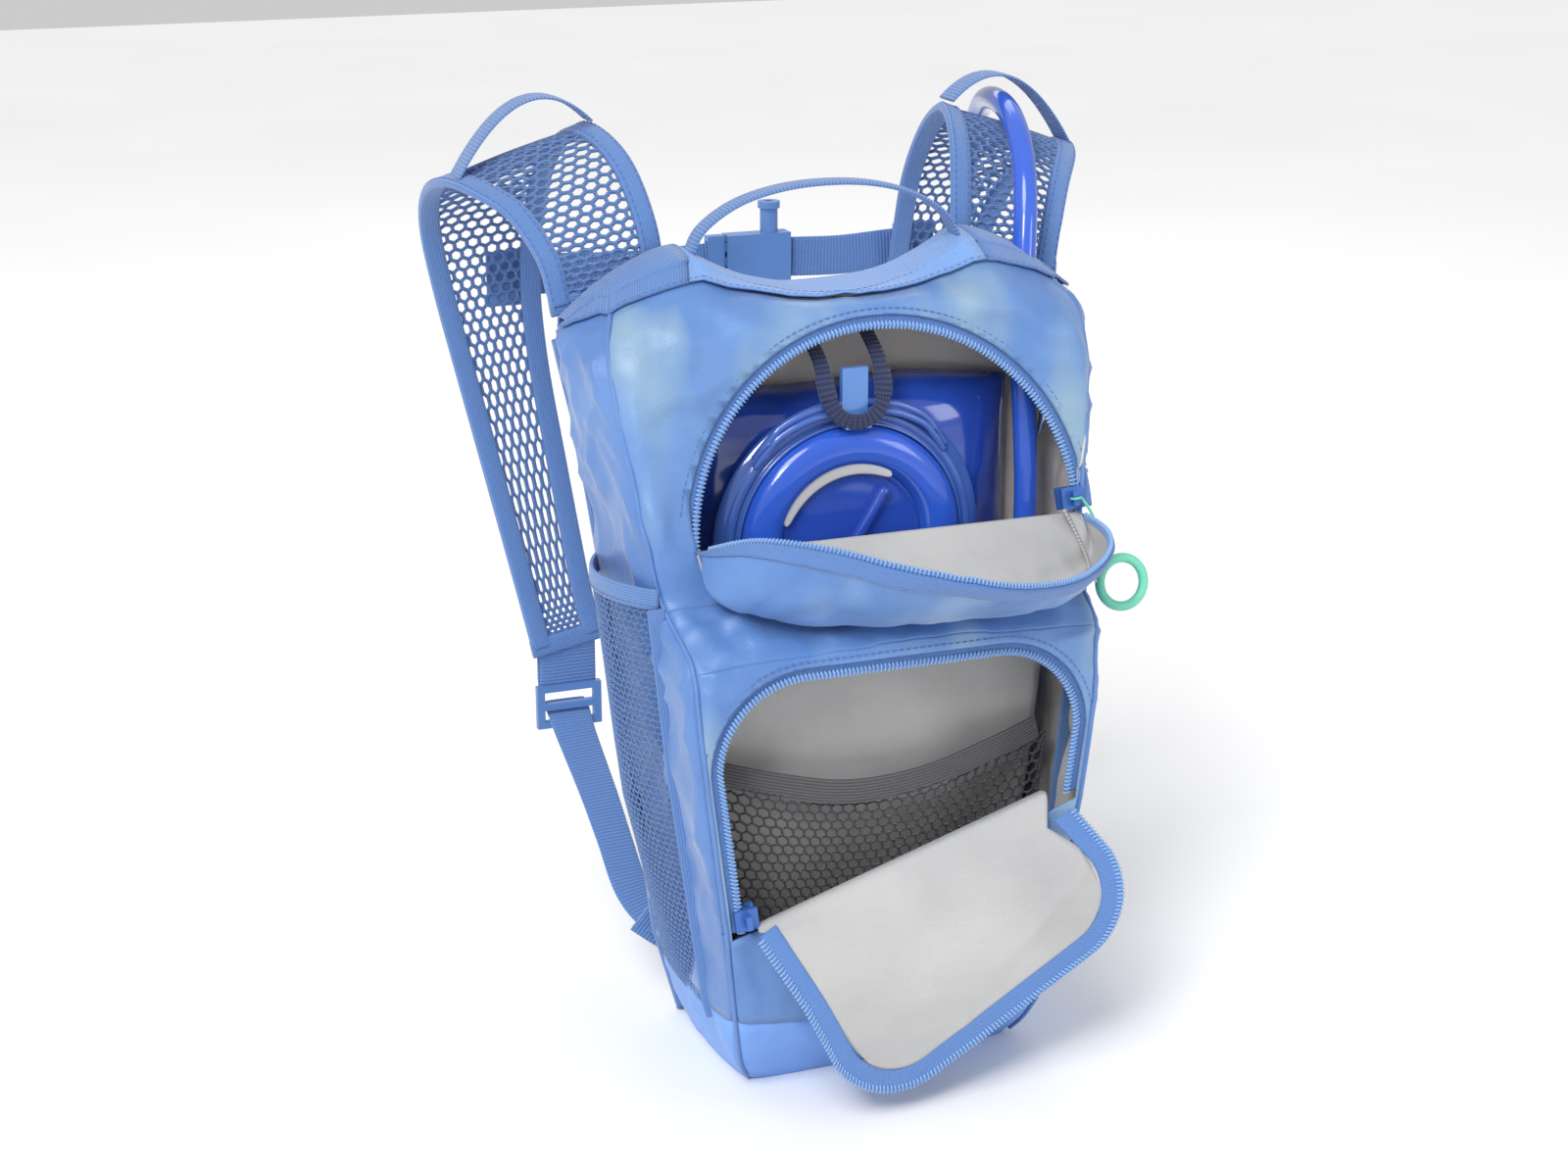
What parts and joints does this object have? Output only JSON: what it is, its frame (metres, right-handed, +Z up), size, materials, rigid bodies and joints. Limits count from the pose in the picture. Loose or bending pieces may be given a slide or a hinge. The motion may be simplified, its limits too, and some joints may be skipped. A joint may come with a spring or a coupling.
{
  "type": "child's hydration pack",
  "caption": "Small sewn hydration pack with zipped flap openings, mesh shoulder straps, sternum strap and a water reservoir with screw cap, hose and bite valve",
  "frame": {"origin": "on the floor, at the middle of the standing pack's back panel", "axes": "+Z up the standing pack, +Y towards the wearer, +X to the right of a viewer who faces the zips"},
  "size_m": [0.2856, 0.2754, 0.3882],
  "materials": {
    "body_fabric": "light blue coated nylon",
    "panel_fabric": "blue nylon with a soft sheen",
    "bottom_fabric": "pale blue coated fabric",
    "lining": "light grey lining fabric",
    "foam": "closed-cell foam",
    "air_mesh": "spacer mesh",
    "hex_mesh": "open hexagon mesh",
    "binding": "woven binding",
    "webbing": "woven webbing",
    "zip_tape": "zip tape",
    "zip_coil": "nylon coil",
    "zip_metal": "painted die-cast slider",
    "pull_ring": "mint green moulded ring",
    "dark_mesh": "dark grey mesh",
    "elastic": "ribbed elastic",
    "reservoir_film": "clear dark blue film",
    "reservoir_hard": "blue moulded plastic",
    "collar_clear": "clear blue plastic",
    "hook_plastic": "light blue plastic",
    "hang_webbing": "navy webbing",
    "gasket_rubber": "soft grey rubber",
    "hose": "glossy cobalt hose",
    "silicone": "translucent silicone",
    "buckle": "blue acetal"
  },
  "bodies": {
    "pack": {"bottom_panel": "bottom_fabric", "side_panel_left": "body_fabric", "side_panel_right": "body_fabric", "neck_and_yoke_binding": "binding", "pocket_front_panel": "body_fabric", "pocket_top_panel": "body_fabric", "front_upper_panel": "panel_fabric", "back_lining": "lining", "back_foam": "foam", "back_air_mesh": "air_mesh", "pocket_divider": "lining", "upper_zip_tape": "zip_tape", "upper_zip_coil": "zip_coil", "pocket_zip_coil": "zip_coil", "pocket_zip_tape": "zip_tape", "inner_mesh_pocket": "dark_mesh", "inner_pocket_elastic": "elastic", "reservoir_bladder": "reservoir_film", "reservoir_collar": "collar_clear", "collar_handle": "collar_clear", "hang_hook": "hook_plastic", "hang_loop": "hang_webbing", "reservoir_outlet": "reservoir_hard", "side_pocket_left": "hex_mesh", "side_pocket_right": "hex_mesh", "side_pocket_hem_left": "binding", "side_pocket_hem_right": "binding", "strap_mesh_left": "hex_mesh", "strap_mesh_right": "hex_mesh", "strap_edging_left": "binding", "strap_edging_right": "binding", "strap_end_tabs": "webbing", "ladder_locks": "buckle", "strap_webbing_left": "webbing", "strap_webbing_right": "webbing", "webbing_anchors": "webbing", "hose_loop_left": "webbing", "hose_loop_right": "webbing", "sternum_anchors": "webbing", "sternum_webbing_right": "webbing", "buckle_socket": "buckle", "drink_hose": "hose", "valve_body": "reservoir_hard", "bite_valve": "silicone"},
    "upper_flap_body": {"upper_flap": "panel_fabric", "upper_flap_tape": "zip_tape", "upper_flap_coil": "zip_coil"},
    "pocket_flap_body": {"pocket_flap": "panel_fabric", "pocket_flap_tape": "zip_tape", "pocket_flap_coil": "zip_coil"},
    "upper_slider_body": {"upper_zip_slider": "zip_metal"},
    "upper_pull_body": {"upper_zip_pull": "pull_ring"},
    "pocket_slider_body": {"pocket_zip_slider": "zip_metal"},
    "cap_body": {"reservoir_cap": "reservoir_hard", "cap_gasket": "gasket_rubber"},
    "lever_body": {"shutoff_lever": "hook_plastic"},
    "clip_body": {"buckle_clip": "buckle", "sternum_webbing_left": "webbing"},
    "handle_body": {"carry_handle": "webbing"}
  },
  "joints": [
    {"name": "upper_flap_fold", "type": "hinge", "parent": "pack", "child": "upper_flap_body", "pos_m": [0.009, -0.06031, 0.22373], "axis": [1, 0, 0], "range_deg": [-99, 0]},
    {"name": "pocket_flap_fold", "type": "hinge", "parent": "pack", "child": "pocket_flap_body", "pos_m": [-0.068, -0.098, 0.077], "axis": [0.9637, 0, 0.2671], "range_deg": [-162, 0]},
    {"name": "upper_slider_run", "type": "hinge", "parent": "pack", "child": "upper_slider_body", "pos_m": [0.009, -0.06031, 0.22373], "axis": [0, -0.976, 0.2179], "range_deg": [0, 171]},
    {"name": "upper_pull_swing", "type": "hinge", "parent": "upper_slider_body", "child": "upper_pull_body", "pos_m": [0.08879, -0.06509, 0.2308], "axis": [-0.0732, 0.2173, 0.9733], "range_deg": [-40, 0]},
    {"name": "pocket_slider_run", "type": "slide", "parent": "pack", "child": "pocket_slider_body", "axis": [-0.1191, 0, 0.9929], "range_m": [0, 0.045]},
    {"name": "cap_turn", "type": "hinge", "parent": "pack", "child": "cap_body", "pos_m": [0, -0.04, 0.216], "axis": [0, -1, 0], "range_deg": [0, 90]},
    {"name": "lever_turn", "type": "hinge", "parent": "pack", "child": "lever_body", "pos_m": [0.10764, 0.11684, 0.14122], "axis": [0, 0.9806, -0.1961], "range_deg": [-90, 0]},
    {"name": "buckle_release", "type": "slide", "parent": "pack", "child": "clip_body", "axis": [-1, 0, 0], "range_m": [0, 0.02]},
    {"name": "carry_handle_fold", "type": "hinge", "parent": "pack", "child": "handle_body", "pos_m": [0, -0.0095, 0.335], "axis": [1, 0, 0], "range_deg": [-45, 45]}
  ]
}
